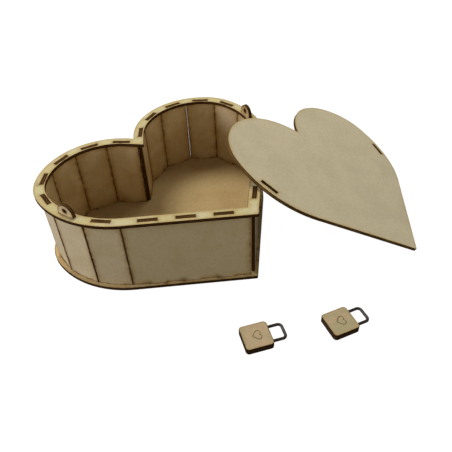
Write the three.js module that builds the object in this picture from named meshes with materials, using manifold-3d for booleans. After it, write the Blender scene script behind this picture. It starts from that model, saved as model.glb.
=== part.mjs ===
// Heart-shaped box of laser-cut fibreboard: base plate, sixteen flat wall boards, rim frame, loose lid
// and two small padlocks for the eyelets. Millimetres, +Z up, standing on z = 0.
// The tip of the heart points to -Y and its notch to +Y. The origin is the middle of the base's underside.
import * as THREE from 'three';
import { mergeVertices } from 'three/addons/utils/BufferGeometryUtils.js';
import Module from 'manifold-3d';

const wasm = await Module();
wasm.setup();

const deg = THREE.MathUtils.degToRad;

// Heart outline: each half is a straight side from the tip, then three arcs that curl round to the notch.
const heartWidth = 220;
const heartForm = {
  tipHalfAngle: deg(50.5),
  sideShare: 0.4739,
  arcs: [
    { radiusShare: 0.3691, turn: deg(58.6) },
    { radiusShare: 0.2071, turn: deg(35.7) },
    { radiusShare: 0.2826, turn: deg(180) },
  ],
};
const tipRadius = 1.5;
const curveStep = deg(4);

// Sheet stock and the box's height.
const sheet = 3;
const wallHeight = 67;

// Walls: one long board and a run of equal short boards in each half. At the loose seam of the right
// half a board is a little short, so light shows between it and the board before.
const shortWalls = 7;
const longWallShare = 0.978;
const wallInset = 4.6;
const wallGap = 0.1;
const tipGap = 1.4;
const notchGap = 0.1;
const seatGap = 0.1;
const looseSeam = { board: 6, trim: 0.18 };

// Tabs of the walls and the slots they sit in.
const tabLength = 15;
const tabPitch = 29.2;
const longWallTabs = 3;
const shortWallTabs = 1;
const tabSetback = 0.2;
const slotClearance = 0.15;
const rimStrip = 0.4;
const rimNotchHalfAngle = deg(38);

// Eyelets: the third wall of each half carries one, a round-headed tab that stands above the rim.
const eyeletWall = 2;
const eyeletRise = 9.7;
const eyeletHole = 4;
const eyeletHoleRise = 4.4;

// Lid: leans on the rim's right side edge with its own right side all but flat on the ground line.
const lidClearance = 0.5;
const lidSlotSlack = 0.2;
const lidFootOut = 141.3;
const lidSlide = 39.3;
const lidFootTurn = deg(2.9);
const lidLean = deg(3);
const lidRestGap = 0.3;

// Padlocks: a square rounded body with an engraved heart, and a bent wire shackle.
const lockSide = 22.5;
const lockThickness = 6;
const lockCornerRadius = 2.8;
const shackleWire = 2.4;
const shackleWidth = 15.9;
const shackleReach = 12.1;
const shackleCorner = 4.2;
const shackleDepth = 5;
const socketClearance = 0.3;
const engravedWidth = 7.8;
const engravedLine = 0.6;
const engravedDepth = 0.4;
const engravedShift = 0.4;
const lockPlaces = [
  { name: 'padlock_left', along: 10.2, out: 62.1, turn: deg(-28.7) },
  { name: 'padlock_right', along: -56.1, out: 56.5, turn: deg(-21.6) },
];

// One half of the heart as a path at a given inset from the outline, from the axis above the tip to
// where it comes back to the axis at the notch. The tip itself is at the origin of this path. With a
// notch half angle, the last arc runs out straight at that angle to the axis.
function heartHalf(width, inset, notchHalfAngle = null) {
  const inward = (heading) => new THREE.Vector2(-Math.cos(heading), Math.sin(heading));
  const ahead = (heading) => new THREE.Vector2(Math.sin(heading), Math.cos(heading));
  const { tipHalfAngle, sideShare, arcs } = heartForm;
  const side = width * sideShare;
  const skipped = inset / Math.tan(tipHalfAngle);
  const pieces = [{
    length: side - skipped,
    steps: 1,
    at: (s) => ahead(tipHalfAngle).multiplyScalar(skipped + s).addScaledVector(inward(tipHalfAngle), inset),
  }];
  let heading = tipHalfAngle;
  const corner = ahead(tipHalfAngle).multiplyScalar(side);
  arcs.forEach(({ radiusShare, turn }, i) => {
    const outer = width * radiusShare;
    const radius = outer - inset;
    const centre = corner.clone().addScaledVector(inward(heading), outer);
    const start = heading;
    let swept = turn;
    if (i === arcs.length - 1) {
      swept = start + (notchHalfAngle ? Math.PI - notchHalfAngle : Math.acos(-centre.x / radius));
    }
    pieces.push({
      length: swept * radius,
      steps: Math.max(1, Math.round(swept / curveStep)),
      at: (s) => centre.clone().addScaledVector(inward(start - s / radius), -radius),
    });
    heading = start - swept;
    corner.copy(centre).addScaledVector(inward(heading), -outer);
  });
  if (notchHalfAngle) {
    const from = corner.clone().addScaledVector(inward(heading), inset);
    const straight = -from.x / ahead(heading).x;
    const way = ahead(heading);
    pieces.push({ length: straight, steps: 1, at: (s) => from.clone().addScaledVector(way, s) });
  }
  const length = pieces.reduce((sum, piece) => sum + piece.length, 0);
  const at = (s) => {
    let rest = s;
    for (const piece of pieces) {
      if (rest <= piece.length || piece === pieces.at(-1)) return piece.at(rest);
      rest -= piece.length;
    }
  };
  return { pieces, length, at };
}

// The whole outline as points, anticlockwise from the tip.
function heartPoints(width, inset, cornerRadius = 0, notchHalfAngle = null) {
  const half = heartHalf(width, inset, notchHalfAngle);
  const right = [];
  if (cornerRadius > 0) {
    const swing = Math.PI / 2 - heartForm.tipHalfAngle;
    const rise = cornerRadius / Math.sin(heartForm.tipHalfAngle);
    for (const share of [0, 0.5, 1]) {
      const a = swing * share;
      right.push(new THREE.Vector2(cornerRadius * Math.sin(a), rise - cornerRadius * Math.cos(a)));
    }
  } else {
    right.push(half.at(0));
  }
  for (const { length, steps, at } of half.pieces) {
    for (let i = 1; i <= steps; i += 1) right.push(at((length * i) / steps));
  }
  right.at(-1).x = 0;
  const left = right.slice(1, -1).reverse().map((p) => new THREE.Vector2(-p.x, p.y));
  return [...right, ...left];
}

const tipToLobe = Math.max(...heartPoints(heartWidth, 0).map((p) => p.y));
const tip = new THREE.Vector2(0, -tipToLobe / 2);
const inFrame = (p) => p.clone().add(tip);

// Corners of the wall line: the first on the axis at the tip, the next where the long board ends, and
// from there equal chords to the notch, where the outer corners of the last boards meet. The chord
// length is found by halving.
function wallCorners() {
  const line = heartHalf(heartWidth, wallInset);
  const first = heartWidth * heartForm.sideShare * longWallShare;
  const nextCorner = (s, chord) => {
    const from = line.at(s);
    let low = s;
    let high = s + chord * 1.5;
    for (let i = 0; i < 40; i += 1) {
      const middle = (low + high) / 2;
      if (line.at(middle).distanceTo(from) < chord) low = middle;
      else high = middle;
    }
    return low;
  };
  const walk = (chord) => {
    const stops = [first];
    for (let i = 0; i < shortWalls; i += 1) stops.push(nextCorner(stops.at(-1), chord));
    return stops;
  };
  const staysRight = (stops) => {
    const [from, to] = stops.slice(-2).map(line.at);
    return to.x + (sheet / 2) * to.clone().sub(from).normalize().y > notchGap / 2;
  };
  let low = 1;
  let high = (line.length - first) / shortWalls;
  for (let i = 0; i < 40; i += 1) {
    const middle = (low + high) / 2;
    if (staysRight(walk(middle))) low = middle;
    else high = middle;
  }
  return [line.at(0), ...walk(low).map(line.at)].map(inFrame);
}

// The boards of the right half: middle, direction and length of each, set back from its corners so that
// neighbours clear each other.
function wallBoards() {
  const corners = wallCorners();
  const spans = corners.slice(1).map((to, i) => to.clone().sub(corners[i]));
  const turnBetween = (a, b) => Math.abs(Math.atan2(a.cross(b), a.dot(b)));
  const setback = (turn, gap) => (sheet / 2) * Math.tan(turn / 2) + gap / 2;
  return spans.map((span, i) => {
    const way = span.clone().normalize();
    const before = i === 0
      ? setback(Math.PI - 2 * heartForm.tipHalfAngle, tipGap)
      : setback(turnBetween(spans[i - 1], span), wallGap);
    const after = i === spans.length - 1 ? 0 : setback(turnBetween(span, spans[i + 1]), wallGap);
    const from = corners[i].clone().addScaledVector(way, before);
    const to = corners[i + 1].clone().addScaledVector(way, -after);
    const tabs = i === 0 ? longWallTabs : shortWallTabs;
    return {
      middle: from.clone().add(to).multiplyScalar(0.5),
      way,
      length: from.distanceTo(to),
      chord: span.length(),
      eyelet: i === eyeletWall,
      tabOffsets: Array.from({ length: tabs }, (_, k) => (k - (tabs - 1) / 2) * tabPitch),
    };
  });
}

const boards = wallBoards();
const tightest = heartWidth * Math.min(...heartForm.arcs.map((arc) => arc.radiusShare)) - wallInset;
const bow = tightest - Math.sqrt(tightest ** 2 - (boards.at(-1).chord / 2) ** 2);
const slotWidth = sheet + 2 * slotClearance;
const rimWidth = wallInset + bow + slotWidth / 2 + rimStrip;
const rimTop = sheet + wallHeight + sheet;

const woodFace = new THREE.Color(0.66, 0.56, 0.37);
const woodPale = new THREE.Color(0.74, 0.66, 0.45);
const woodGrey = new THREE.Color(0.62, 0.57, 0.45);
const wireBlack = new THREE.Color(0.06, 0.05, 0.045);

function makeMesh(name, geometry, color, roughness, metalness = 0) {
  const mesh = new THREE.Mesh(geometry, new THREE.MeshStandardMaterial({ color, roughness, metalness }));
  mesh.name = name;
  return mesh;
}

function slotPath(centre, way, length, width) {
  const across = new THREE.Vector2(-way.y, way.x);
  const corner = (a, b) => centre.clone()
    .addScaledVector(way, (a * length) / 2)
    .addScaledVector(across, (b * width) / 2);
  return new THREE.Path([corner(-1, -1), corner(-1, 1), corner(1, 1), corner(1, -1)]);
}

// Slots of both halves for the boards that pass the test.
function wallSlots(wanted, length, width) {
  return boards.filter(wanted).flatMap(({ middle, way, tabOffsets }) => tabOffsets.flatMap((offset) => {
    const centre = middle.clone().addScaledVector(way, offset);
    const mirrored = new THREE.Vector2(-centre.x, centre.y);
    const mirroredWay = new THREE.Vector2(-way.x, way.y);
    return [slotPath(centre, way, length, width), slotPath(mirrored, mirroredWay, length, width)];
  }));
}

function heartPlate(holes) {
  const shape = new THREE.Shape(heartPoints(heartWidth, 0, tipRadius).map(inFrame));
  shape.holes.push(...holes);
  return new THREE.ExtrudeGeometry(shape, { depth: sheet, bevelEnabled: false });
}

function basePlate() {
  const slots = wallSlots(() => true, tabLength + 2 * slotClearance, slotWidth);
  return makeMesh('base_plate', heartPlate(slots), woodFace, 0.85);
}

function rimFrame() {
  const slots = wallSlots(() => true, tabLength + 2 * slotClearance, slotWidth);
  const opening = new THREE.Path(heartPoints(heartWidth, rimWidth, 0, rimNotchHalfAngle).map(inFrame));
  const rim = makeMesh('rim_frame', heartPlate([opening, ...slots]), woodPale, 0.8);
  rim.position.z = rimTop - sheet;
  return rim;
}

// Outline of a wall board seen from its face, x along the wall and y up from the base's underside. A
// trimmed board is that much shorter at its first end.
function boardShape({ length, tabOffsets, eyelet, trim = 0 }) {
  const start = trim - length / 2;
  const foot = sheet + seatGap;
  const head = sheet + wallHeight - seatGap;
  const lowEnd = tabSetback;
  const highEnd = rimTop - tabSetback;
  const shape = new THREE.Shape();
  shape.moveTo(start, foot);
  for (const offset of tabOffsets) {
    shape.lineTo(offset - tabLength / 2, foot);
    shape.lineTo(offset - tabLength / 2, lowEnd);
    shape.lineTo(offset + tabLength / 2, lowEnd);
    shape.lineTo(offset + tabLength / 2, foot);
  }
  shape.lineTo(length / 2, foot);
  shape.lineTo(length / 2, head);
  for (const offset of [...tabOffsets].reverse()) {
    shape.lineTo(offset + tabLength / 2, head);
    if (eyelet) {
      shape.lineTo(offset + tabLength / 2, rimTop + eyeletRise - tabLength / 2);
      shape.absarc(offset, rimTop + eyeletRise - tabLength / 2, tabLength / 2, 0, Math.PI, false);
    } else {
      shape.lineTo(offset + tabLength / 2, highEnd);
      shape.lineTo(offset - tabLength / 2, highEnd);
    }
    shape.lineTo(offset - tabLength / 2, head);
  }
  shape.lineTo(start, head);
  if (eyelet) {
    const hole = new THREE.Path();
    hole.absarc(0, rimTop + eyeletHoleRise, eyeletHole / 2, 0, 2 * Math.PI, true);
    shape.holes.push(hole);
  }
  return shape;
}

function wall(name, board, mirror) {
  const geometry = new THREE.ExtrudeGeometry(boardShape(board), {
    depth: sheet,
    bevelEnabled: false,
    curveSegments: 10,
  });
  geometry.translate(0, 0, -sheet / 2);
  const mesh = makeMesh(name, geometry, woodFace, 0.85);
  const angle = Math.atan2(board.way.y, board.way.x);
  mesh.position.set(mirror * board.middle.x, board.middle.y, 0);
  mesh.rotation.set(Math.PI / 2, 0, mirror * angle, 'ZYX');
  return mesh;
}

// The lid in nested groups: turned in its own plane until its lowest point meets the ground line, tilted
// about that line until it rests on the rim, then turned to where it stands.
function leaningLid() {
  const slots = wallSlots(({ eyelet }) => eyelet, tabLength + 2 * lidClearance, sheet + 2 * lidSlotSlack);
  const lid = makeMesh('lid', heartPlate(slots), woodGrey, 0.85);
  const centre = new THREE.Vector2();
  const outline = heartPoints(heartWidth, 0, tipRadius).map(inFrame);
  const sideAngle = Math.PI / 2 - heartForm.tipHalfAngle;
  lid.rotation.z = -sideAngle - lidLean;
  const turned = (p) => p.clone().rotateAround(centre, lid.rotation.z);
  lid.position.set(-turned(tip).x, -Math.min(...outline.map((p) => turned(p).y)), 0);

  const along = new THREE.Vector2(Math.cos(sideAngle), Math.sin(sideAngle));
  const outward = new THREE.Vector2(along.y, -along.x);
  const foot = tip.clone().addScaledVector(along, lidSlide).addScaledVector(outward, lidFootOut);
  const groundTurn = sideAngle + lidFootTurn;
  const inFromFoot = (p) => p.clone().sub(foot).rotateAround(centre, -groundTurn).y;
  const nearest = Math.min(...outline.map(inFromFoot));
  const tilt = new THREE.Group();
  tilt.rotation.x = Math.atan2(rimTop, nearest) + Math.asin(lidRestGap / Math.hypot(nearest, rimTop));
  tilt.add(lid);

  const place = new THREE.Group();
  place.position.set(foot.x, foot.y, 0);
  place.rotation.z = groundTurn;
  place.add(tilt);
  return place;
}

// Closed geometry to a manifold solid and back.
function toSolid(geometry) {
  const bare = geometry.clone();
  bare.deleteAttribute('normal');
  bare.deleteAttribute('uv');
  const merged = mergeVertices(bare, 1e-4);
  return new wasm.Manifold(new wasm.Mesh({
    numProp: 3,
    vertProperties: new Float32Array(merged.attributes.position.array),
    triVerts: new Uint32Array(merged.index.array),
  }));
}

function toGeometry(solid) {
  const { vertProperties, triVerts } = solid.getMesh();
  const geometry = new THREE.BufferGeometry();
  geometry.setAttribute('position', new THREE.BufferAttribute(new Float32Array(vertProperties), 3));
  geometry.setIndex(new THREE.BufferAttribute(new Uint32Array(triVerts), 1));
  geometry.computeVertexNormals();
  return geometry;
}

// Padlock frame: x towards the shackle, z up, the body's middle over the origin.
function lockBody(name) {
  const half = lockSide / 2;
  const inner = half - lockCornerRadius;
  const outline = new THREE.Shape();
  outline.absarc(inner, inner, lockCornerRadius, 0, Math.PI / 2, false);
  outline.absarc(-inner, inner, lockCornerRadius, Math.PI / 2, Math.PI, false);
  outline.absarc(-inner, -inner, lockCornerRadius, Math.PI, 1.5 * Math.PI, false);
  outline.absarc(inner, -inner, lockCornerRadius, 1.5 * Math.PI, 2 * Math.PI, false);
  const slab = new THREE.ExtrudeGeometry(outline, {
    depth: lockThickness,
    bevelEnabled: false,
    curveSegments: 6,
  });

  const engravedLength = Math.max(...heartPoints(engravedWidth, 0).map((p) => p.y));
  const turned = (p) => new THREE.Vector2(p.y - engravedLength / 2 + engravedShift, -p.x);
  const groove = new THREE.Shape(heartPoints(engravedWidth, -engravedLine / 2).map(turned));
  groove.holes.push(new THREE.Path(heartPoints(engravedWidth, engravedLine / 2).map(turned)));
  const grooveCut = new THREE.ExtrudeGeometry(groove, { depth: 2 * engravedDepth, bevelEnabled: false });
  grooveCut.translate(0, 0, lockThickness - engravedDepth);

  let solid = toSolid(slab).subtract(toSolid(grooveCut));
  for (const sideOfLock of [-1, 1]) {
    const bore = shackleDepth + socketClearance;
    const socket = new THREE.CylinderGeometry(
      shackleWire / 2 + socketClearance,
      shackleWire / 2 + socketClearance,
      2 * bore,
      12,
    );
    socket.rotateZ(Math.PI / 2);
    socket.translate(half, (sideOfLock * (shackleWidth - shackleWire)) / 2, lockThickness / 2);
    solid = solid.subtract(toSolid(socket));
  }
  return makeMesh(`${name}_body`, toGeometry(solid), woodFace, 0.8);
}

// The shackle's centre line: in along one leg, round two corners and back down the other.
function lockShackle(name) {
  const legY = (shackleWidth - shackleWire) / 2;
  const rootX = lockSide / 2 - shackleDepth;
  const farX = lockSide / 2 + shackleReach - shackleWire / 2;
  const bend = shackleCorner - shackleWire / 2;
  const z = lockThickness / 2;
  const point = (x, y) => new THREE.Vector3(x, y, z);
  const route = [point(rootX, -legY)];
  const bendSteps = 6;
  const corner = (centreX, centreY, from) => {
    for (let i = 0; i <= bendSteps; i += 1) {
      const a = from + (Math.PI / 2) * (i / bendSteps);
      route.push(point(centreX + bend * Math.cos(a), centreY + bend * Math.sin(a)));
    }
  };
  corner(farX - bend, -legY + bend, -Math.PI / 2);
  corner(farX - bend, legY - bend, 0);
  route.push(point(rootX, legY));

  const sides = 8;
  const positions = [];
  const ring = (i) => {
    const ahead = route[Math.min(i + 1, route.length - 1)].clone().sub(route[Math.max(i - 1, 0)]);
    const out = new THREE.Vector3(ahead.y, -ahead.x, 0).normalize();
    return Array.from({ length: sides }, (_, k) => {
      const a = (2 * Math.PI * (k + 0.5)) / sides;
      return route[i].clone()
        .addScaledVector(out, (shackleWire / 2) * Math.cos(a))
        .add(new THREE.Vector3(0, 0, (shackleWire / 2) * Math.sin(a)));
    });
  };
  const rings = route.map((_, i) => ring(i));
  rings.forEach((section) => section.forEach((p) => positions.push(p.x, p.y, p.z)));
  const faces = [];
  for (let i = 0; i < rings.length - 1; i += 1) {
    for (let k = 0; k < sides; k += 1) {
      const a = i * sides + k;
      const b = i * sides + ((k + 1) % sides);
      faces.push(a, a + sides, b, b, a + sides, b + sides);
    }
  }
  const lastRing = (rings.length - 1) * sides;
  for (let k = 1; k < sides - 1; k += 1) {
    faces.push(0, k, k + 1, lastRing, lastRing + k + 1, lastRing + k);
  }
  const geometry = new THREE.BufferGeometry();
  geometry.setAttribute('position', new THREE.Float32BufferAttribute(positions, 3));
  geometry.setIndex(faces);
  geometry.computeVertexNormals();
  return makeMesh(`${name}_shackle`, geometry, wireBlack, 0.4, 0.8);
}

// A padlock lying on the ground, placed along and out from the box's left side.
function padlock({ name, along, out, turn }) {
  const { tipHalfAngle } = heartForm;
  const lock = new THREE.Group();
  const x = -along * Math.sin(tipHalfAngle) - out * Math.cos(tipHalfAngle);
  const y = tip.y + along * Math.cos(tipHalfAngle) - out * Math.sin(tipHalfAngle);
  lock.position.set(x, y, 0);
  lock.rotation.z = turn;
  lock.add(lockBody(name), lockShackle(name));
  return lock;
}

const box = new THREE.Group();
box.add(basePlate(), rimFrame());
boards.forEach((board, i) => {
  const trim = i + 1 === looseSeam.board ? looseSeam.trim : 0;
  box.add(wall(`left_wall_${i + 1}`, board, -1), wall(`right_wall_${i + 1}`, { ...board, trim }, 1));
});
box.add(leaningLid(), ...lockPlaces.map(padlock));

export default box;
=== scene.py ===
import math
import random
import bmesh
import bpy
from mathutils import Matrix, Vector
from mathutils.geometry import delaunay_2d_cdt
from mathutils.kdtree import KDTree


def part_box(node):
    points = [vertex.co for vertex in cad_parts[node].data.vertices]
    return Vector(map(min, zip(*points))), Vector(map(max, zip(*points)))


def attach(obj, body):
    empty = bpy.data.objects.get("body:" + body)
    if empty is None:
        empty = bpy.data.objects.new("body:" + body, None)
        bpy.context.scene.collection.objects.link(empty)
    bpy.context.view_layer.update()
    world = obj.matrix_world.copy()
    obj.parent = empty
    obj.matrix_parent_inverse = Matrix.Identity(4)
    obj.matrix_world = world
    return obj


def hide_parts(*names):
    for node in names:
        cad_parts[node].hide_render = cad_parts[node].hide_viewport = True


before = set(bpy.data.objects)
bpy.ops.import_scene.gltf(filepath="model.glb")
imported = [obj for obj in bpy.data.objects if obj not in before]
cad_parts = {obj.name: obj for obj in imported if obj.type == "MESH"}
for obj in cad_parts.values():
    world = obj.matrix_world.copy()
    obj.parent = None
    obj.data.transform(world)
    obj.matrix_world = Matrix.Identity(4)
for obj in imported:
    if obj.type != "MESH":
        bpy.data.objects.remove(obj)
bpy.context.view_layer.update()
mm = 0.001

# what the camera sees: the photograph's own viewpoint, solved from the box's outline
photoView = {
    "position": (-0.22105, -0.29023, 0.33111),
    "azimuth": -43.25,
    "elevation": 42.28,
    "roll": -2.54,
    "sensor": 36.0,
    "lens": 41.07,
}


def placeCamera(view):
    camera = bpy.data.cameras.new("photoCamera")
    camera.sensor_width = view["sensor"]
    camera.lens = view["lens"]
    camera.clip_start = 0.01
    camera.clip_end = 20.0
    cameraObject = bpy.data.objects.new("photoCamera", camera)
    bpy.context.scene.collection.objects.link(cameraObject)
    turn = Matrix.Rotation(math.radians(view["azimuth"]), 4, "Z")
    tip = Matrix.Rotation(math.radians(90 - view["elevation"]), 4, "X")
    roll = Matrix.Rotation(math.radians(view["roll"]), 4, "Z")
    cameraObject.matrix_world = Matrix.Translation(view["position"]) @ turn @ tip @ roll
    bpy.context.scene.camera = cameraObject
    print("camera placed")


placeCamera(photoView)

# studio: a table that looks white but throws back little, a surround that is dark overhead, and soft lamps:
# one high behind, one low on the left, and a weak one high behind on the right
studio = {
    "floorSize": 14.0,
    "floorColor": (0.12, 0.115, 0.11),
    "floorGlow": 0.985,
    "surroundColor": (1.0, 0.975, 0.92),
    "surroundAtHorizon": 0.95,
    "surroundOverhead": 0.0,
    "lamps": {
        # name: compass angle, height angle, distance, size, watts, colour
        "highLamp": (80, 60, 1.5, 0.6, 12.7, (1.0, 0.985, 0.955)),
        "lowLamp": (143, 20, 1.5, 0.6, 12.4, (0.9, 0.94, 1.27)),
        "rightLamp": (15, 62, 1.5, 0.6, 2.9, (1.0, 0.98, 0.95)),
    },
    "aim": (0.0, 0.0, 0.03),
}


def buildStudio(values):
    scene = bpy.context.scene
    scene.view_settings.view_transform = "Standard"
    world = bpy.data.worlds.new("studioWorld")
    world.use_nodes = True
    background = world.node_tree.nodes["Background"]
    background.inputs["Color"].default_value = (*values["surroundColor"], 1)
    worldTree = world.node_tree
    direction = worldTree.nodes.new("ShaderNodeSeparateXYZ")
    worldTree.links.new(worldTree.nodes.new("ShaderNodeTexCoord").outputs["Generated"], direction.inputs[0])
    dimming = worldTree.nodes.new("ShaderNodeMapRange")
    worldTree.links.new(direction.outputs["Z"], dimming.inputs["Value"])
    dimming.inputs["To Min"].default_value = values["surroundAtHorizon"]
    dimming.inputs["To Max"].default_value = values["surroundOverhead"]
    worldTree.links.new(dimming.outputs["Result"], background.inputs["Strength"])
    scene.world = world

    half = values["floorSize"] / 2
    floorMesh = bpy.data.meshes.new("floor")
    corners = [(-half, -half, 0), (half, -half, 0), (half, half, 0), (-half, half, 0)]
    floorMesh.from_pydata(corners, [], [(0, 1, 2, 3)])
    floor = bpy.data.objects.new("floor", floorMesh)
    scene.collection.objects.link(floor)
    floor.location.z = -0.0002
    material = bpy.data.materials.new("paleTable")
    material.use_nodes = True
    nodes, links = material.node_tree.nodes, material.node_tree.links
    shader = nodes["Principled BSDF"]
    shader.inputs["Base Color"].default_value = (*values["floorColor"], 1)
    shader.inputs["Roughness"].default_value = 0.9
    shader.inputs["Specular IOR Level"].default_value = 0.1
    shader.inputs["Emission Color"].default_value = (1, 1, 1, 1)
    lightPath = nodes.new("ShaderNodeLightPath")  # the glow is for the eye only and lights nothing
    glow = nodes.new("ShaderNodeMath")
    glow.operation = "MULTIPLY"
    glow.inputs[1].default_value = values["floorGlow"]
    links.new(lightPath.outputs["Is Camera Ray"], glow.inputs[0])
    links.new(glow.outputs[0], shader.inputs["Emission Strength"])
    floorMesh.materials.append(material)

    aim = Vector(values["aim"])
    for name, (compass, height, away, size, watts, color) in values["lamps"].items():
        flat = math.cos(math.radians(height)) * away
        place = aim + Vector((
            math.cos(math.radians(compass)) * flat,
            math.sin(math.radians(compass)) * flat,
            math.sin(math.radians(height)) * away,
        ))
        lamp = bpy.data.lights.new(name, "AREA")
        lamp.shape = "DISK"
        lamp.size = size
        lamp.energy = watts
        lamp.color = color
        lampObject = bpy.data.objects.new(name, lamp)
        lampObject.location = place
        lampObject.rotation_euler = (aim - place).to_track_quat("-Z", "Y").to_euler()
        scene.collection.objects.link(lampObject)
    print("studio built")


buildStudio(studio)


# shader groups that several finishes share

def newGroup(name, inputs, outputs):
    group = bpy.data.node_groups.new(name, "ShaderNodeTree")
    for label, kind, value in inputs:
        socket = group.interface.new_socket(label, in_out="INPUT", socket_type=kind)
        socket.default_value = value
    for label, kind in outputs:
        group.interface.new_socket(label, in_out="OUTPUT", socket_type=kind)
    return group, group.nodes.new("NodeGroupInput"), group.nodes.new("NodeGroupOutput")


def mathNode(tree, operation, first, second=None, third=None, clamp=False):
    node = tree.nodes.new("ShaderNodeMath")
    node.operation = operation
    node.use_clamp = clamp
    for socket, value in zip(node.inputs, (first, second, third)):
        if value is None:
            continue
        if isinstance(value, (int, float)):
            socket.default_value = value
        else:
            tree.links.new(value, socket)
    return node.outputs[0]


def noiseNode(tree, vector, scale, detail=2.0, roughness=0.5, distortion=0.0):
    node = tree.nodes.new("ShaderNodeTexNoise")
    tree.links.new(vector, node.inputs["Vector"])
    if isinstance(scale, (int, float)):
        node.inputs["Scale"].default_value = scale
    else:
        tree.links.new(scale, node.inputs["Scale"])
    node.inputs["Detail"].default_value = detail
    node.inputs["Roughness"].default_value = roughness
    node.inputs["Distortion"].default_value = distortion
    return node.outputs["Fac"]


def rangeNode(tree, value, fromMin, fromMax, toMin, toMax, smooth=False):
    node = tree.nodes.new("ShaderNodeMapRange")
    node.interpolation_type = "SMOOTHSTEP" if smooth else "LINEAR"
    tree.links.new(value, node.inputs["Value"])
    for label, number in (("From Min", fromMin), ("From Max", fromMax), ("To Min", toMin), ("To Max", toMax)):
        if isinstance(number, (int, float)):
            node.inputs[label].default_value = number
        else:
            tree.links.new(number, node.inputs[label])
    return node.outputs["Result"]


def mixColor(tree, factor, first, second, blend="MIX"):
    node = tree.nodes.new("ShaderNodeMix")
    node.data_type = "RGBA"
    node.blend_type = blend
    for socket, value in ((node.inputs[0], factor), (node.inputs[6], first), (node.inputs[7], second)):
        if isinstance(value, (int, float)):
            socket.default_value = value
        elif isinstance(value, tuple):
            socket.default_value = (*value, 1)
        else:
            tree.links.new(value, socket)
    return node.outputs[2]


def stretched(tree, vector, scale):
    node = tree.nodes.new("ShaderNodeMapping")
    tree.links.new(vector, node.inputs["Vector"])
    node.inputs["Scale"].default_value = scale
    return node.outputs["Vector"]


# grain and scorch that every board shares: noise scales are per metre
fibreLook = {
    "mottleScale": 420.0,
    "stretchA": (2600.0, 620.0, 900.0),
    "stretchB": (620.0, 2600.0, 900.0),
    "darkFleck": (0.22, 0.14, 0.065),
    "paleFleck": (0.72, 0.64, 0.45),
}
scorchLook = {
    "patchScale": 85.0,
    "flickerScale": 230.0,
    "wispScale": 260.0,
    "haloFade": 1.4,
    "brownPerLip": 2.4,
    "lipStrength": 0.8,
    "mostSmoke": 0.9,
    "brownColor": (0.19, 0.095, 0.025),
    "lipColor": (0.045, 0.021, 0.007),
    "smokeColor": (0.15, 0.085, 0.026),
}


def buildFibreGroup():
    # pressed wood fibre: cloudy tone, a fine mottle and short pale and dark flecks
    group, given, put = newGroup(
        "pressedFibre",
        [("Vector", "NodeSocketVector", (0, 0, 0)), ("Color", "NodeSocketColor", (0.5, 0.4, 0.25, 1)),
         ("Cloud Color", "NodeSocketColor", (0.4, 0.32, 0.2, 1)), ("Cloud Size", "NodeSocketFloat", 45.0),
         ("Fleck Strength", "NodeSocketFloat", 0.4)],
        [("Color", "NodeSocketColor"), ("Roughness", "NodeSocketFloat"), ("Height", "NodeSocketFloat")],
    )
    vector = given.outputs["Vector"]
    cloud = noiseNode(group, vector, given.outputs["Cloud Size"], 4.0, 0.55, 0.6)
    cloudMask = rangeNode(group, cloud, 0.38, 0.66, 0.0, 1.0, smooth=True)
    color = mixColor(group, cloudMask, given.outputs["Color"], given.outputs["Cloud Color"])
    mottle = noiseNode(group, vector, fibreLook["mottleScale"], 3.0, 0.6)
    mottleShade = rangeNode(group, mottle, 0.3, 0.7, 0.93, 1.06)
    shade = group.nodes.new("ShaderNodeVectorMath")
    shade.operation = "SCALE"
    group.links.new(color, shade.inputs[0])
    group.links.new(mottleShade, shade.inputs["Scale"])
    fibreA = noiseNode(group, stretched(group, vector, fibreLook["stretchA"]), 1.0, 1.0, 0.4, 0.8)
    fibreB = noiseNode(group, stretched(group, vector, fibreLook["stretchB"]), 1.0, 1.0, 0.4, 0.8)
    darkFleck = mathNode(group, "MAXIMUM", rangeNode(group, fibreA, 0.66, 0.76, 0.0, 1.0),
                         rangeNode(group, fibreB, 0.67, 0.77, 0.0, 1.0))
    paleFleck = rangeNode(group, fibreA, 0.26, 0.36, 1.0, 0.0)
    darkAmount = mathNode(group, "MULTIPLY", darkFleck, given.outputs["Fleck Strength"])
    paleAmount = mathNode(group, "MULTIPLY", paleFleck, given.outputs["Fleck Strength"])
    flecked = mixColor(group, darkAmount, shade.outputs[0], fibreLook["darkFleck"])
    flecked = mixColor(group, paleAmount, flecked, fibreLook["paleFleck"])
    group.links.new(flecked, put.inputs["Color"])
    group.links.new(rangeNode(group, mottle, 0.2, 0.8, 0.78, 0.62), put.inputs["Roughness"])
    height = mathNode(group, "MULTIPLY_ADD", fibreA, 0.5, mottle)
    group.links.new(height, put.inputs["Height"])
    return group


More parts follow.
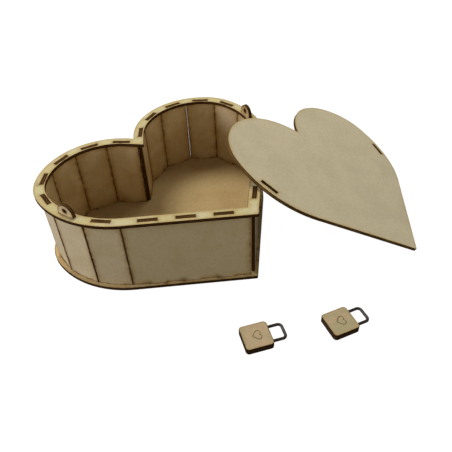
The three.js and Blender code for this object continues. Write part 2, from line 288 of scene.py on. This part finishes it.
def buildScorchGroup():
    # heat tint beside a cut: a dark lip, then brown, then a yellow halo with a ragged limit
    group, given, put = newGroup(
        "laserScorch",
        [("Vector", "NodeSocketVector", (0, 0, 0)), ("Color", "NodeSocketColor", (0.5, 0.4, 0.25, 1)),
         ("Distance", "NodeSocketFloat", 10.0), ("Smoke", "NodeSocketFloat", 0.0),
         ("Halo Reach", "NodeSocketFloat", 3.5), ("Halo Strength", "NodeSocketFloat", 0.6),
         ("Lip Reach", "NodeSocketFloat", 0.5), ("Halo Color", "NodeSocketColor", (0.47, 0.29, 0.085, 1))],
        [("Color", "NodeSocketColor"), ("Mask", "NodeSocketFloat")],
    )
    vector = given.outputs["Vector"]
    patch = noiseNode(group, vector, scorchLook["patchScale"], 3.0, 0.55)
    ragged = rangeNode(group, patch, 0.3, 0.7, 0.45, 1.5)
    reach = mathNode(group, "MULTIPLY", given.outputs["Halo Reach"], ragged)
    halo = mathNode(group, "DIVIDE", given.outputs["Distance"], reach)
    halo = mathNode(group, "SUBTRACT", 1.0, halo, clamp=True)
    halo = mathNode(group, "POWER", halo, scorchLook["haloFade"])
    halo = mathNode(group, "MULTIPLY", halo, given.outputs["Halo Strength"])
    color = mixColor(group, halo, given.outputs["Color"], given.outputs["Halo Color"])
    flicker = noiseNode(group, vector, scorchLook["flickerScale"], 2.0, 0.5)
    uneven = rangeNode(group, flicker, 0.34, 0.66, 0.45, 1.9)
    lipReach = mathNode(group, "MULTIPLY", given.outputs["Lip Reach"], uneven)
    brownReach = mathNode(group, "MULTIPLY", lipReach, scorchLook["brownPerLip"])
    brown = mathNode(group, "DIVIDE", given.outputs["Distance"], brownReach)
    brown = mathNode(group, "SUBTRACT", 1.0, brown, clamp=True)
    brown = mathNode(group, "MULTIPLY", brown, rangeNode(group, patch, 0.3, 0.7, 0.35, 0.85))
    color = mixColor(group, brown, color, scorchLook["brownColor"])
    lip = mathNode(group, "DIVIDE", given.outputs["Distance"], lipReach)
    lip = mathNode(group, "SUBTRACT", 1.0, lip, clamp=True)
    lip = mathNode(group, "MULTIPLY", lip, scorchLook["lipStrength"])
    color = mixColor(group, lip, color, scorchLook["lipColor"])
    wisps = noiseNode(group, vector, scorchLook["wispScale"], 3.0, 0.6)
    wispy = rangeNode(group, wisps, 0.3, 0.7, 0.5, 1.25)
    smoke = mathNode(group, "MULTIPLY", given.outputs["Smoke"], wispy)
    smoke = mathNode(group, "MINIMUM", smoke, scorchLook["mostSmoke"])
    color = mixColor(group, smoke, color, scorchLook["smokeColor"])
    group.links.new(color, put.inputs["Color"])
    group.links.new(mathNode(group, "MAXIMUM", halo, brown), put.inputs["Mask"])
    return group


pressedFibre = buildFibreGroup()
laserScorch = buildScorchGroup()
print("shader groups built")

# faces of the boards: one finish for each kind of sheet
boardFinishes = {
    "rimFace": {
        "color": (0.505, 0.43, 0.185), "cloudColor": (0.545, 0.485, 0.265), "cloudSize": 60.0, "fleck": 0.16,
        "haloReach": 3.0, "haloStrength": 0.9, "haloColor": (0.4, 0.25, 0.065),
        "lipReach": 0.2, "shine": 0.4,
    },
    "lidFace": {
        "color": (0.605, 0.525, 0.35), "cloudColor": (0.56, 0.485, 0.32), "cloudSize": 26.0, "fleck": 0.1,
        "haloReach": 3.6, "haloStrength": 0.8, "haloColor": (0.5, 0.355, 0.115),
        "lipReach": 0.22, "shine": 0.25,
    },
    "wallOutside": {
        "color": (0.6, 0.48, 0.268), "cloudColor": (0.565, 0.445, 0.228), "cloudSize": 44.0, "fleck": 0.14,
        "haloReach": 5.0, "haloStrength": 0.8, "haloColor": (0.43, 0.26, 0.075),
        "lipReach": 0.6, "shine": 0.35,
    },
    # painted shade: the inner faces are a darker, warmer copy of the outside, and the band beside their cuts
    # is wider and darker than the laser tint, for the shade inside the box
    "wallInsidePaintedShade": {
        "color": (0.53, 0.395, 0.205), "cloudColor": (0.46, 0.335, 0.158), "cloudSize": 44.0, "fleck": 0.14,
        "haloReach": 8.0, "haloStrength": 0.8, "haloColor": (0.34, 0.195, 0.042),
        "lipReach": 0.9, "shine": 0.12,
    },
    # painted shade: the base face is darker and more saturated than the walls' outside, for the floor in the
    # box's shade
    "baseFacePaintedShade": {
        "color": (0.508, 0.374, 0.174), "cloudColor": (0.464, 0.33, 0.146), "cloudSize": 30.0, "fleck": 0.16,
        "haloReach": 4.0, "haloStrength": 0.6, "haloColor": (0.5, 0.34, 0.105),
        "lipReach": 0.4, "shine": 0.12,
    },
    "padlockFace": {
        "color": (0.475, 0.34, 0.185), "cloudColor": (0.385, 0.335, 0.17), "cloudSize": 85.0, "fleck": 0.12,
        "haloReach": 2.8, "haloStrength": 0.65, "haloColor": (0.41, 0.255, 0.085),
        "lipReach": 0.35, "shine": 0.25,
    },
}


# cut edges: the plates and padlocks are burnt darkest, the lid's edge and the boards' tab ends are browner
cutFinishes = {
    "lidCut": {"deep": (0.04, 0.018, 0.005), "rib": (0.11, 0.055, 0.014), "scuff": (0.24, 0.14, 0.042)},
    "plateCut": {"deep": (0.026, 0.011, 0.003), "rib": (0.062, 0.028, 0.007), "scuff": (0.1, 0.048, 0.013)},
    "boardCut": {"deep": (0.03, 0.013, 0.003), "rib": (0.072, 0.034, 0.008), "scuff": (0.14, 0.075, 0.022)},
    "padlockCut": {"deep": (0.024, 0.012, 0.005), "rib": (0.047, 0.024, 0.01), "scuff": (0.075, 0.04, 0.016)},
}


def attributeNode(tree, name):
    node = tree.nodes.new("ShaderNodeAttribute")
    node.attribute_name = name
    return node.outputs["Fac"]


def groupNode(tree, group, links, values):
    node = tree.nodes.new("ShaderNodeGroup")
    node.node_tree = group
    for label, output in links.items():
        tree.links.new(output, node.inputs[label])
    for label, value in values.items():
        node.inputs[label].default_value = value
    return node


def bumpNormal(tree, shader, height, strength, depth):
    bump = tree.nodes.new("ShaderNodeBump")
    bump.inputs["Strength"].default_value = strength
    bump.inputs["Distance"].default_value = depth
    tree.links.new(height, bump.inputs["Height"])
    tree.links.new(bump.outputs["Normal"], shader.inputs["Normal"])


def boardFaceMaterial(name, finish):
    material = bpy.data.materials.new(name)
    material.use_nodes = True
    tree = material.node_tree
    shader = tree.nodes["Principled BSDF"]
    position = tree.nodes.new("ShaderNodeTexCoord").outputs["Object"]
    fibre = groupNode(tree, pressedFibre, {"Vector": position}, {
        "Color": (*finish["color"], 1), "Cloud Color": (*finish["cloudColor"], 1),
        "Cloud Size": finish["cloudSize"], "Fleck Strength": finish["fleck"],
    })
    toned = tree.nodes.new("ShaderNodeVectorMath")
    toned.operation = "SCALE"
    tree.links.new(fibre.outputs["Color"], toned.inputs[0])
    # each board's random tone, with painted light on the eyelets and on the base's margin
    tree.links.new(attributeNode(tree, "boardToneAndPaintedLight"), toned.inputs["Scale"])
    scorch = groupNode(tree, laserScorch, {
        "Vector": position, "Color": toned.outputs[0],
        "Distance": attributeNode(tree, "cutDistance"), "Smoke": attributeNode(tree, "smoke"),
    }, {
        "Halo Reach": finish["haloReach"], "Halo Strength": finish["haloStrength"],
        "Halo Color": (*finish["haloColor"], 1), "Lip Reach": finish["lipReach"],
    })
    tree.links.new(scorch.outputs["Color"], shader.inputs["Base Color"])
    tree.links.new(fibre.outputs["Roughness"], shader.inputs["Roughness"])
    bumpNormal(tree, shader, fibre.outputs["Height"], 0.15, 0.25 * mm)
    shader.inputs["Specular IOR Level"].default_value = finish["shine"]
    return material


def cutEdgeMaterial(name, finish):
    # burnt edge of the sheet: brown-black with fine ribs across the thickness and paler scuffs
    material = bpy.data.materials.new(name)
    material.use_nodes = True
    tree = material.node_tree
    shader = tree.nodes["Principled BSDF"]
    position = tree.nodes.new("ShaderNodeTexCoord").outputs["Object"]
    along = tree.nodes.new("ShaderNodeCombineXYZ")
    tree.links.new(attributeNode(tree, "alongCut"), along.inputs["X"])
    ribs = noiseNode(tree, along.outputs[0], 2.2, 3.0, 0.6)
    patch = noiseNode(tree, position, 95.0, 3.0, 0.55)
    color = mixColor(tree, rangeNode(tree, ribs, 0.3, 0.7, 0.0, 1.0), finish["deep"], finish["rib"])
    scuffed = mixColor(tree, rangeNode(tree, patch, 0.44, 0.7, 0.1, 0.75), color, finish["scuff"])
    core = rangeNode(tree, attributeNode(tree, "acrossCut"), 0.25, 0.85, 0.0, 1.0, smooth=True)
    color = mixColor(tree, core, color, scuffed)
    tree.links.new(color, shader.inputs["Base Color"])
    tree.links.new(rangeNode(tree, ribs, 0.3, 0.7, 0.55, 0.85), shader.inputs["Roughness"])
    bumpNormal(tree, shader, ribs, 0.5, 0.2 * mm)
    shader.inputs["Specular IOR Level"].default_value = 0.02
    return material


faceMaterials = {name: boardFaceMaterial(name, finish) for name, finish in boardFinishes.items()}
cutMaterials = {name: cutEdgeMaterial(name, finish) for name, finish in cutFinishes.items()}
print("board materials built")

# the engraved line: lengths in millimetres, and burn is how dark it is, from 0 to 1
engraving = {"burnReach": 0.12, "burn": 0.88, "cleanRow": 0.2, "edgeStep": 0.25}

# how every sheet is meshed: lengths in millimetres, smoothTurn in degrees, and ratios for gridRow, the
# clearances and leastCosine
sheetMeshing = {
    "edgeStep": 1.5,
    "chamfer": 0.2,
    "swell": 0.0,
    "haloRows": (0.7, 1.6, 3.0),
    "gridStep": 5.0,
    "gridRow": 0.87,
    "gridClearance": 0.45,
    "rowClearance": 0.9,
    "leastCosine": 0.35,
    "smoothTurn": 25.0,
    "longestArcStep": 9.0,
    "farDistance": 20.0,
}


def mergedCopy(node):
    bm = bmesh.new()
    bm.from_mesh(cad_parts[node].data)
    bmesh.ops.remove_doubles(bm, verts=bm.verts, dist=1e-6)
    bm.normal_update()
    return bm


def sheetNormal(bm):
    # the direction that the largest face looks in
    return max(bm.faces, key=lambda face: face.calc_area()).normal.copy()


def largestFacing(node):
    bm = mergedCopy(node)
    facing = sheetNormal(bm)
    bm.free()
    return facing


def loopLength(path):
    return sum((a - b).length for a, b in zip(path, path[1:] + path[:1]))


def faceLoops(bm, normal):
    # boundary loops of the faces that look along the normal, the outermost first, equal ones in no fixed order
    chosen = {face for face in bm.faces if face.normal.dot(normal) > 0.9999}
    top = max(face.calc_center_median().dot(normal) for face in chosen)
    chosen = {face for face in chosen if abs(face.calc_center_median().dot(normal) - top) < 1e-5}
    following = {}
    for face in chosen:
        for loop in face.loops:
            if sum(other in chosen for other in loop.edge.link_faces) == 1:
                following[loop.vert] = loop.link_loop_next.vert
    loops = []
    while following:
        start = next(iter(following))
        path, at = [start.co.copy()], following.pop(start)
        while at is not start:
            path.append(at.co.copy())
            at = following.pop(at)
        loops.append(path)
    loops.sort(key=loopLength, reverse=True)
    return loops, top


def flatten(loops, across, up):
    return [[Vector((point.dot(across), point.dot(up))) / mm for point in path] for path in loops]


def refineLoop(path, meshing):
    # arcs drawn in facets become smooth curves, straights stay straight, and all is cut to the edge step
    count = len(path)
    smooth, tangents = [], []
    for i, point in enumerate(path):
        before, after = point - path[i - 1], path[(i + 1) % count] - point
        turn = abs(before.angle_signed(after))
        smooth.append(math.degrees(turn) < meshing["smoothTurn"])
        longBefore = before.length > meshing["longestArcStep"]
        longAfter = after.length > meshing["longestArcStep"]
        if longBefore or longAfter:
            tangents.append((before if before.length > after.length else after).normalized())
        else:
            tangents.append((before.normalized() + after.normalized()).normalized())
    fine = []
    for i, point in enumerate(path):
        j = (i + 1) % count
        span = path[j] - point
        steps = max(1, math.ceil(span.length / meshing["edgeStep"]))
        straight = span.length > meshing["longestArcStep"]
        startWay = tangents[i] if smooth[i] and not straight else span.normalized()
        endWay = tangents[j] if smooth[j] and not straight else span.normalized()
        for k in range(steps):
            t = k / steps
            curve = (
                point * (2 * t**3 - 3 * t**2 + 1)
                + startWay * span.length * (t**3 - 2 * t**2 + t)
                + path[j] * (-2 * t**3 + 3 * t**2)
                + endWay * span.length * (t**3 - t**2)
            )
            fine.append(curve)
    return fine


def insetLoop(path, amount):
    # moves a loop into the sheet; the sheet lies to the left of every loop
    moved = []
    for i, point in enumerate(path):
        before = (point - path[i - 1]).normalized()
        after = (path[(i + 1) % len(path)] - point).normalized()
        left = Vector((-before.y - after.y, before.x + after.x)).normalized()
        cosine = max(sheetMeshing["leastCosine"], left.dot(Vector((-after.y, after.x))))
        moved.append(point + left * (amount / cosine))
    return moved


def insideLoops(point, loops):
    inside = False
    for path in loops:
        for a, b in zip(path, path[1:] + path[:1]):
            if (a.y > point.y) != (b.y > point.y):
                if point.x < (b.x - a.x) * (point.y - a.y) / (b.y - a.y) + a.x:
                    inside = not inside
    return inside


def nearestFinder(loops):
    tree = KDTree(sum(len(path) for path in loops))
    index = 0
    for path in loops:
        for point in path:
            tree.insert((point.x, point.y, 0), index)
            index += 1
    tree.balance()
    return lambda point: tree.find((point.x, point.y, 0))[2]


def fillPoints(loops, distance, meshing):
    # rows beside every cut for the heat tint, then an open grid over the rest
    points = []
    rows = meshing["haloRows"]
    for row, depth in enumerate(rows):
        for path in loops:
            for i, point in enumerate(insetLoop(path, depth)):
                clear = distance(point) > depth * meshing["rowClearance"]
                if i % (row + 1) == 0 and clear and insideLoops(point, loops):
                    points.append(point)
    step = meshing["gridStep"]
    low = Vector((min(p.x for p in loops[0]), min(p.y for p in loops[0])))
    high = Vector((max(p.x for p in loops[0]), max(p.y for p in loops[0])))
    for i in range(int((high.x - low.x) / step) + 2):
        for j in range(int((high.y - low.y) / step) + 2):
            point = low + Vector(((i + 0.5 * (j % 2)) * step, j * step * meshing["gridRow"]))
            clear = distance(point) > rows[-1] + step * meshing["gridClearance"]
            if clear and insideLoops(point, loops):
                points.append(point)
    return points


def engraved(point, marks):
    # burnt along the engraved line and a hair beyond it
    if not marks:
        return 0.0
    gap = min(min((point - other).length for other in path) for path in marks)
    return engraving["burn"] if gap < engraving["burnReach"] else 0.0


def buildSheet(name, node, materials, options=None):
    options = options or {}
    meshing = {**sheetMeshing, **options.get("meshing", {})}
    bm = mergedCopy(node)
    normal = Vector(options["normal"]).normalized() if "normal" in options else sheetNormal(bm)
    up = Vector((0, 0, 1)) if abs(normal.z) < 0.5 else Vector((0, 1, 0))
    across = up.cross(normal).normalized()
    up = normal.cross(across).normalized()
    rough, top = faceLoops(bm, normal)
    bottom = min(vert.co.dot(normal) for vert in bm.verts)
    bm.free()
    cuts = flatten(rough, across, up)
    keepLoops = options.get("keepLoops", len(cuts))
    marks = cuts[keepLoops:]
    loops = [refineLoop(path, meshing) for path in cuts[:keepLoops]]
    loops = [insetLoop(path, -meshing["swell"]) for path in loops]
    marks = [refineLoop(path, {**meshing, "edgeStep": engraving["edgeStep"]}) for path in marks]
    thickness = (top - bottom) / mm
    chamfer = meshing["chamfer"]
    distance = nearestFinder(loops)

    inner = [insetLoop(path, chamfer) for path in loops]
    flat = [point for path in inner for point in path]
    edges, start = [], 0
    for path in inner:
        edges += [(start + i, start + (i + 1) % len(path)) for i in range(len(path))]
        start += len(path)
    loopCount = start
    for path in marks:
        flat += path
        edges += [(start + i, start + (i + 1) % len(path)) for i in range(len(path))]
        start += len(path)
    flat += options.get("extraPoints", lambda found: [])(marks)
    flat += fillPoints(loops, distance, meshing)
    points, _, faces, origins, _, _ = delaunay_2d_cdt(flat, edges, [], 2, 1e-5)
    loopVertex = {}
    for index, sources in enumerate(origins):
        for source in sources:
            if source < loopCount:
                loopVertex[source] = index
    middle = lambda face: sum((points[i] for i in face), Vector((0, 0))) / 3
    faces = [face for face in faces if insideLoops(middle(face), inner)]

    relief = options.get("relief", lambda point, found: 0.0)
    smudge = options.get("smudges", lambda found: lambda point: 0.0)(loops)
    tone = options.get("tone", lambda found: lambda point: 1.0)(loops)
    vertices, along, depths, distances, smokes, tones = [], [], [], [], [], []

    def addVertex(point, height, run, gap):
        place = across * point.x * mm + up * point.y * mm + normal * (bottom + height * mm)
        vertices.append(place)
        along.append(run)
        depths.append(2 * min(height, thickness - height) / thickness)
        distances.append(min(gap, meshing["farDistance"]))
        smokes.append(max(smudge(point), engraved(point, marks)))
        tones.append(tone(point))
        return len(vertices) - 1

    gaps = [max(0.0, distance(point)) for point in points]
    topIds = [addVertex(p, thickness + relief(p, marks), 0.0, gap) for p, gap in zip(points, gaps)]
    bottomIds = [addVertex(p, 0.0, 0.0, gap) for p, gap in zip(points, gaps)]
    polygons = [[topIds[i] for i in face] for face in faces]
    polygons += [[bottomIds[i] for i in reversed(face)] for face in faces]
    slots = [0] * len(faces) + [len(materials) - 1 if len(materials) > 2 else 0] * len(faces)
    levels = [thickness - chamfer, thickness / 2, chamfer]
    offset = 0
    for path in loops:
        run, rings = 0.0, []
        for i, point in enumerate(path):
            run += (point - path[i - 1]).length if i else 0.0
            sides = [addVertex(point, level, run, 0.0) for level in levels]
            rings.append([topIds[loopVertex[offset + i]], *sides, bottomIds[loopVertex[offset + i]]])
        for i, ring in enumerate(rings):
            after = rings[(i + 1) % len(rings)]
            for k in range(len(ring) - 1):
                polygons.append([ring[k], ring[k + 1], after[k + 1], after[k]])
                slots.append(1)
        offset += len(path)

    mesh = bpy.data.meshes.new(name)
    mesh.from_pydata(vertices, [], polygons)
    mesh.polygons.foreach_set("material_index", slots)
    for label, values in (
        ("cutDistance", distances), ("alongCut", along), ("acrossCut", depths), ("boardToneAndPaintedLight", tones),
        ("smoke", smokes),
    ):
        attribute = mesh.attributes.new(label, "FLOAT", "POINT")
        attribute.data.foreach_set("value", values)
    for material in materials:
        mesh.materials.append(material)
    mesh.validate()
    piece = bpy.data.objects.new(name, mesh)
    bpy.context.scene.collection.objects.link(piece)
    return piece


def finishPiece(piece, nodes):
    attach(piece, "root")
    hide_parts(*nodes)


# base, rim and lid, with brown smudges where the beam turned at the ends of some slots
plates = {
    "base_plate": {
        "piece": "basePlate", "face": "baseFacePaintedShade", "cut": "plateCut", "slot": "board",
        "smudge": 0.7, "seed": 5,
    },
    "rim_frame": {
        "piece": "rimFrame", "face": "rimFace", "cut": "plateCut", "slot": "rim",
        "smudge": 0.95, "seed": 8,
    },
    "lid": {
        "piece": "lidPlate", "face": "lidFace", "cut": "lidCut", "slot": "lid",
        "smudge": 0.4, "seed": 3,
    },
}
longestSlot = 60.0
# painted light: the margin's tone lifts the open strip outside the walls above the shaded floor
margin = {"width": 4.0, "tone": 1.25}


def slotSmudges(strength, seed):
    source = random.Random(seed)

    def fromLoops(loops):
        spots = []
        for path in loops[1:]:
            if loopLength(path) > longestSlot:
                continue
            centre = sum(path, Vector((0, 0))) / len(path)
            reach = max((point - centre for point in path), key=lambda away: away.length)
            for side in (-1, 1):
                radius = source.uniform(1.1, 2.6)
                power = strength * source.random() ** 1.6
                spots.append((centre + reach * side, radius, power))
        return lambda point: sum(
            power * math.exp(-(((point - spot).length / radius) ** 2)) for spot, radius, power in spots
        )
    return fromLoops


def marginPaintedLight(loops):
    # the base's margin outside the walls is painted paler than the floor that they enclose: painted light on
    # the open margin and painted shade on the enclosed floor
    toOutline = nearestFinder(loops[:1])
    return lambda point: margin["tone"] if toOutline(point) < margin["width"] else 1.0


for node, values in plates.items():
    facing = Vector((0, 0, 1))
    if node == "lid":
        facing = largestFacing(node)
        facing = facing if facing.z > 0 else -facing
    options = {"normal": facing, "smudges": slotSmudges(values["smudge"], values["seed"])}
    if node == "base_plate":
        options["tone"] = marginPaintedLight
    finishes = [faceMaterials[values["face"]], cutMaterials[values["cut"]]]
    plate = buildSheet(values["piece"], node, finishes, options)
    finishPiece(plate, [node])
    print("built", values["piece"], len(plate.data.polygons), "faces")

# walls: every board a little lighter or darker than the next, with soot above the tabs of the long ones
walls = {
    "perSide": 8,
    "toneSpread": 0.06,
    # painted light: how much paler the eyelets above the rim are painted
    "eyeletPaintedLight": 1.3,
    "rimTop": 73.2,
    "seed": 11,
    "sootWidth": 3.5,
    "sootHeight": 2.2,
    "sootStrength": 1.0,
    "tabPitch": 29.2,
    "tabLength": 15.0,
    "foot": 3.0,
    "meshing": {"chamfer": 0.03, "swell": 0.08},  # the burnt edges of neighbours just touch
}


def tabSoot(loops):
    ends = [point.x for point in loops[0]]
    middle = (min(ends) + max(ends)) / 2 - walls["tabLength"] / 2

    def smokeAt(point):
        near = min(abs(point.x - middle - k * walls["tabPitch"]) for k in (-1, 0, 1))
        rise = (point.y - walls["foot"]) / walls["sootHeight"]
        return walls["sootStrength"] * math.exp(-((near / walls["sootWidth"]) ** 2) - rise ** 2)
    return smokeAt


def boardToneAndPaintedLight(tone):
    # the eyelets, which stand clear of the rim, are painted paler: painted light where they stand in the open
    # above the rim
    return lambda loops: lambda point: tone * (walls["eyeletPaintedLight"] if point.y > walls["rimTop"] else 1.0)


toneSource = random.Random(walls["seed"])
for side in ("left", "right"):
    for number in range(1, walls["perSide"] + 1):
        node = f"{side}_wall_{number}"
        low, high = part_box(node)
        outward = (Vector(low) + Vector(high)) * Vector((1, 1, 0))
        facing = largestFacing(node)
        options = {
            "tone": boardToneAndPaintedLight(1.0 + toneSource.uniform(-walls["toneSpread"], walls["toneSpread"])),
            "normal": facing if facing.dot(outward) > 0 else -facing,
            "meshing": walls["meshing"],
        }
        if number == 1:
            options["smudges"] = tabSoot
        # the inner faces take the painted-shade copy of the board finish
        finishes = [faceMaterials["wallOutside"], cutMaterials["boardCut"], faceMaterials["wallInsidePaintedShade"]]
        board = buildSheet(f"{side}Wall{number}", node, finishes, options)
        finishPiece(board, [node])
print("walls built")

# padlocks: block with an engraved heart, wire shackle
padlock = {
    "chamfer": 0.45,
    "engravingDepth": 0.4,
    "engravingWidth": 0.6,
    "wire": 2.4,
    "shackleWidth": 15.9,
    "shackleReach": 12.1,
    "shackleCorner": 4.2,
    "shackleDepth": 5.0,
    "bodySide": 22.5,
    "wireSides": 20,
    "bendSteps": 10,
}
wireLook = {
    "dark": (0.017, 0.012, 0.009),
    "worn": (0.062, 0.044, 0.030),
    "wearScale": 900.0,
    "metallic": 0.35,
}


def buildShackleTree():
    # a round wire swept along a flat U of named width, reach and corner
    tree = bpy.data.node_groups.new("bentWire", "GeometryNodeTree")
    tree.interface.new_socket("Geometry", in_out="INPUT", socket_type="NodeSocketGeometry")
    for label, value in (("Wire", padlock["wire"] * mm), ("Corner", padlock["shackleCorner"] * mm)):
        socket = tree.interface.new_socket(label, in_out="INPUT", socket_type="NodeSocketFloat")
        socket.default_value = value
    sides = tree.interface.new_socket("Sides", in_out="INPUT", socket_type="NodeSocketInt")
    sides.default_value = padlock["wireSides"]
    tree.interface.new_socket("Material", in_out="INPUT", socket_type="NodeSocketMaterial")
    tree.interface.new_socket("Geometry", in_out="OUTPUT", socket_type="NodeSocketGeometry")
    nodes, links = tree.nodes, tree.links
    given, put = nodes.new("NodeGroupInput"), nodes.new("NodeGroupOutput")
    fillet = nodes.new("GeometryNodeFilletCurve")
    fillet.mode = "POLY"
    fillet.inputs["Count"].default_value = padlock["bendSteps"]
    toCurve = nodes.new("GeometryNodeMeshToCurve")
    links.new(given.outputs["Geometry"], toCurve.inputs["Mesh"])
    links.new(toCurve.outputs["Curve"], fillet.inputs["Curve"])
    half = nodes.new("ShaderNodeMath")
    half.operation = "MULTIPLY"
    half.inputs[1].default_value = 0.5
    links.new(given.outputs["Wire"], half.inputs[0])
    bend = nodes.new("ShaderNodeMath")
    bend.operation = "SUBTRACT"
    links.new(given.outputs["Corner"], bend.inputs[0])
    links.new(half.outputs[0], bend.inputs[1])
    links.new(bend.outputs[0], fillet.inputs["Radius"])
    section = nodes.new("GeometryNodeCurvePrimitiveCircle")
    links.new(given.outputs["Sides"], section.inputs["Resolution"])
    links.new(half.outputs[0], section.inputs["Radius"])
    sweep = nodes.new("GeometryNodeCurveToMesh")
    sweep.inputs["Fill Caps"].default_value = True
    links.new(fillet.outputs["Curve"], sweep.inputs["Curve"])
    links.new(section.outputs["Curve"], sweep.inputs["Profile Curve"])
    realize = nodes.new("GeometryNodeRealizeInstances")
    setMaterial = nodes.new("GeometryNodeSetMaterial")
    links.new(sweep.outputs["Mesh"], realize.inputs[0])
    links.new(realize.outputs[0], setMaterial.inputs["Geometry"])
    links.new(given.outputs["Material"], setMaterial.inputs["Material"])
    links.new(setMaterial.outputs["Geometry"], put.inputs["Geometry"])
    return tree


def wireMaterial():
    material = bpy.data.materials.new("blackWire")
    material.use_nodes = True
    tree = material.node_tree
    shader = tree.nodes["Principled BSDF"]
    position = tree.nodes.new("ShaderNodeTexCoord").outputs["Object"]
    wear = noiseNode(tree, position, wireLook["wearScale"], 3.0, 0.6)
    worn = rangeNode(tree, wear, 0.45, 0.72, 0.0, 1.0)
    color = mixColor(tree, worn, wireLook["dark"], wireLook["worn"])
    tree.links.new(color, shader.inputs["Base Color"])
    tree.links.new(rangeNode(tree, wear, 0.3, 0.7, 0.3, 0.5), shader.inputs["Roughness"])
    shader.inputs["Metallic"].default_value = wireLook["metallic"]
    return material


def meanPoint(node):
    bm = mergedCopy(node)
    mean = sum((vert.co for vert in bm.verts), Vector()) / len(bm.verts)
    bm.free()
    return mean


def buildShackle(name, bodyNode, shackleNode, tree, material):
    low, high = (Vector(corner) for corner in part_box(bodyNode))
    centre = (low + high) / 2
    toward = meanPoint(shackleNode) - centre
    turn = Matrix.Rotation(math.atan2(toward.y, toward.x), 4, "Z")
    place = Matrix.Translation(centre) @ turn
    legY = (padlock["shackleWidth"] - padlock["wire"]) / 2
    rootX = padlock["bodySide"] / 2 - padlock["shackleDepth"]
    farX = padlock["bodySide"] / 2 + padlock["shackleReach"] - padlock["wire"] / 2
    bends = ((rootX, -legY), (farX, -legY), (farX, legY), (rootX, legY))
    route = [place @ (Vector((x, y, 0)) * mm) for x, y in bends]
    mesh = bpy.data.meshes.new(name + "Route")
    mesh.from_pydata(route, [(0, 1), (1, 2), (2, 3)], [])
    carrier = bpy.data.objects.new(name + "Route", mesh)
    bpy.context.scene.collection.objects.link(carrier)
    modifier = carrier.modifiers.new("bentWire", "NODES")
    modifier.node_group = tree
    values = {
        "Wire": padlock["wire"] * mm,
        "Corner": padlock["shackleCorner"] * mm,
        "Sides": padlock["wireSides"],
        "Material": material,
    }
    for item in tree.interface.items_tree:
        if item.item_type == "SOCKET" and item.in_out == "INPUT" and item.name in values:
            modifier[item.identifier] = values[item.name]
    evaluated = carrier.evaluated_get(bpy.context.evaluated_depsgraph_get())
    mesh = bpy.data.meshes.new_from_object(evaluated)
    mesh.name = name
    piece = bpy.data.objects.new(name, mesh)
    bpy.context.scene.collection.objects.link(piece)
    for polygon in mesh.polygons:
        polygon.use_smooth = len(polygon.vertices) == 4
    bpy.data.objects.remove(carrier)
    return piece


def grooveDepth(point, marks):
    # a round-bottomed groove between the two outlines of the engraved heart
    if not (insideLoops(point, marks[:1]) and not insideLoops(point, marks[1:])):
        return 0.0
    gap = min(min((point - other).length for other in path) for path in marks)
    share = min(1.0, gap / (padlock["engravingWidth"] / 2))
    return -padlock["engravingDepth"] * math.sqrt(max(0.0, 1 - (1 - share) ** 2))


def groovePoints(marks):
    # the groove's middle, and a clean row close beside it that keeps the burnt line thin
    middle = insetLoop(marks[0], -padlock["engravingWidth"] / 2)
    return middle + [point for path in marks for point in insetLoop(path, engraving["cleanRow"])]


padlockMeshing = {
    "edgeStep": 0.6,
    "chamfer": padlock["chamfer"],
    "haloRows": (0.8, 1.6, 2.6),
    "gridStep": 1.2,
}
bentWire = buildShackleTree()
blackWire = wireMaterial()
for side in ("left", "right"):
    bodyNode, shackleNode = f"padlock_{side}_body", f"padlock_{side}_shackle"
    options = {
        "normal": (0, 0, 1),
        "keepLoops": 1,
        "relief": grooveDepth,
        "extraPoints": groovePoints,
        "meshing": padlockMeshing,
    }
    finishes = [faceMaterials["padlockFace"], cutMaterials["padlockCut"]]
    body = buildSheet(f"{side}PadlockBody", bodyNode, finishes, options)
    finishPiece(body, [bodyNode])
    shackle = buildShackle(f"{side}PadlockShackle", bodyNode, shackleNode, bentWire, blackWire)
    finishPiece(shackle, [shackleNode])
print("padlocks built")
